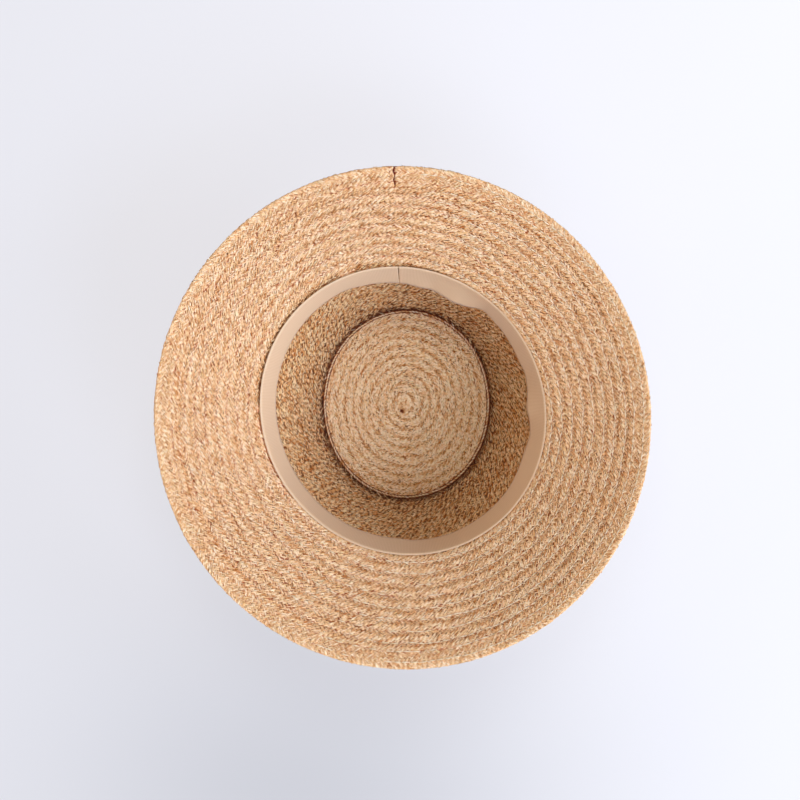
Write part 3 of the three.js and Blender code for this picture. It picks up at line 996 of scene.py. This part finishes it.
def white_board():
    """Matt white board that glows with painted light, so that shadows on it stay faint. It dims a
    little in one soft spot, a painted shadow, and brightens slowly to the right, painted light."""
    material, tree, shader = new_material("matt_white_board_painted_glow")
    place = node(tree, "ShaderNodeTexCoord").outputs["Object"]
    axes = node(tree, "ShaderNodeSeparateXYZ", {}, {"Vector": place})
    total = BOARD["own_light"]
    end = BOARD["change_ends"]
    for axis, slope in (("X", BOARD["sideways"]), ("Y", BOARD["lengthways"])):
        change = node(tree, "ShaderNodeMapRange", {},
                      {"Value": axes.outputs[axis], "From Min": -end, "From Max": end,
                       "To Min": -end * slope, "To Max": end * slope})
        total = node(tree, "ShaderNodeMath", {"operation": "ADD"},
                     {0: change.outputs["Result"], 1: total}).outputs[0]
    # The dim spot, a painted shadow
    away = node(tree, "ShaderNodeVectorMath", {"operation": "DISTANCE"},
                {0: place, 1: BOARD["dim_place"]}).outputs["Value"]
    ratio = node(tree, "ShaderNodeMath", {"operation": "DIVIDE"},
                 {0: away, 1: BOARD["dim_radius"]}).outputs[0]
    square = node(tree, "ShaderNodeMath", {"operation": "MULTIPLY"}, {0: ratio, 1: ratio})
    bell = node(tree, "ShaderNodeMath", {"operation": "POWER"},
                {0: math.exp(-0.5), 1: square.outputs[0]})
    glow = node(tree, "ShaderNodeMath", {"operation": "MULTIPLY_ADD"},
                {0: bell.outputs[0], 1: -BOARD["dim"], 2: total})
    tree.links.new(glow.outputs[0], shader.inputs["Emission Strength"])
    shader.inputs["Emission Color"].default_value = (1.0, 0.99, 1.045, 1.0)
    shader.inputs["Base Color"].default_value = (0.19, 0.188, 0.198, 1.0)
    shader.inputs["Roughness"].default_value = 0.9
    shader.inputs["Specular IOR Level"].default_value = 0.0
    return material


# ---------------------------------------------------------------- stage

CAMERA = {"place": (20.5, 55.0, 1142.0), "lens": 74.66, "shift": (-0.0444, -0.095)}
# Soft boxes: direction they come from, height above the floor in degrees, power in watts and
# colour. Warm light comes low from the left, cooler light from the front and the right.
LIGHTS = {
    "low_left": {"azimuth": 180, "elevation": 20, "power": 11.5, "colour": "#fff1e6"},
    "low_front": {"azimuth": -60, "elevation": 20, "power": 12.0, "colour": "#d6ebff"},
    "low_right": {"azimuth": 0, "elevation": 20, "power": 10.6, "colour": "#fcfcff"},
    "middle_right": {"azimuth": 0, "elevation": 40, "power": 12.6, "colour": "#cbe2ff"},
    "middle_front": {"azimuth": -60, "elevation": 40, "power": 7.5, "colour": "#dce9ff"},
    "high_front_right": {"azimuth": -45, "elevation": 56, "power": 12.8, "colour": "#d5e4ff"},
    "high_front": {"azimuth": -90, "elevation": 68, "power": 5.7, "colour": "#fffdf5"},
    "high_back": {"azimuth": 86, "elevation": 70, "power": 13.2, "colour": "#f7feff"},
}
SOFT_BOX = {"distance": 1900, "size": 700}


def camera_above():
    """A camera straight above the open side, a little behind the middle of the hat."""
    lens = bpy.data.cameras.new("camera_above")
    lens.lens = CAMERA["lens"]
    lens.sensor_width = 36.0
    lens.shift_x, lens.shift_y = CAMERA["shift"]
    lens.clip_end = 50.0
    camera = bpy.data.objects.new("camera_above", lens)
    camera.location = [length * MM for length in CAMERA["place"]]
    bpy.context.scene.collection.objects.link(camera)
    bpy.context.scene.camera = camera


def soft_box(name, azimuth, elevation, power, colour):
    """A square soft box that faces the hat."""
    light = bpy.data.lights.new(name, "AREA")
    light.size = SOFT_BOX["size"] * MM
    light.energy = power
    light.color = linear(colour)[:3]
    box = bpy.data.objects.new(name, light)
    a, e = math.radians(azimuth), math.radians(elevation)
    toward = np.array([math.cos(a) * math.cos(e), math.sin(a) * math.cos(e), math.sin(e)])
    box.location = toward * SOFT_BOX["distance"] * MM
    box.rotation_euler = (math.pi / 2 - e, 0, a + math.pi / 2)
    bpy.context.scene.collection.objects.link(box)


def studio():
    """The board, glowing with painted light, and the soft boxes, which give all the light in a dark
    room.
    """
    floor_height = CAD_LOW.z / MM
    half = 6000.0
    corners = [(-half, -half, floor_height), (half, -half, floor_height),
               (half, half, floor_height), (-half, half, floor_height)]
    floor = mesh_piece("floor", corners, [np.arange(4)[None, :]], smooth=False)
    floor.data.materials.append(white_board())
    for name, light in LIGHTS.items():
        soft_box(name, **light)
    world = bpy.data.worlds.new("studio")
    world.use_nodes = True
    world.node_tree.nodes["Background"].inputs["Strength"].default_value = 0.0
    bpy.context.scene.world = world
    bpy.context.scene.view_settings.view_transform = "Standard"


# ---------------------------------------------------------------- the hat

ZONE_NODES = {
    "tip": ("crown_tip", ["tip"]),
    "side": ("crown_side", ["side"]),
    "brim": ("brim", ["brim"]),
    "rim": ("brim_edge", ["inner_band", "outer_band"]),
}


def finished(piece, material, slot, *nodes):
    """Gives a piece its material and hides the solids that it stands for. The slot is not used."""
    piece.data.materials.append(material)
    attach(piece, "root")
    if nodes:
        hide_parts(*nodes)
    return piece


def make_hat():
    """All the pieces of the hat: cores, plait, thread, welt and ribbon."""
    strips = {zone: raffia_with_painted_shade(f"raffia_with_painted_shade_{zone}", **tints)
              for zone, tints in RAFFIA_TINTS.items()}
    between = raffia_core_painted_shade()
    thread = cotton_thread()
    for zone, (cad_node, rows) in ZONE_NODES.items():
        # The rim's core shows at the rim's edge, so it has the material of the strips; elsewhere the
        # core is painted brown as the shade between the strips
        inside = strips["brim"] if zone == "rim" else between
        finished(core(zone), inside, "raffia_plait", cad_node)
        for face in FACES:
            for row in rows:
                # On the open face the tip and the side take their own copies of the raffia, painted
                # with the shade inside the crown; all else takes the brim's
                own = strips.get(row, strips["brim"])
                straw = own if face == "open" else strips["brim"]
                for half in ("inner", "outer"):
                    finished(plait(row, face, half), straw, "raffia_plait", cad_node)
                if face == "outer" or zone in ("brim", "rim"):
                    finished(stitches(row, face), thread, "raffia_plait")
    finished(welt(), strips["brim"], "raffia_plait", "tip_welt")
    band = finished(ribbon(), grosgrain(), "grosgrain_ribbon", "sweatband")


camera_above()
studio()
make_hat()
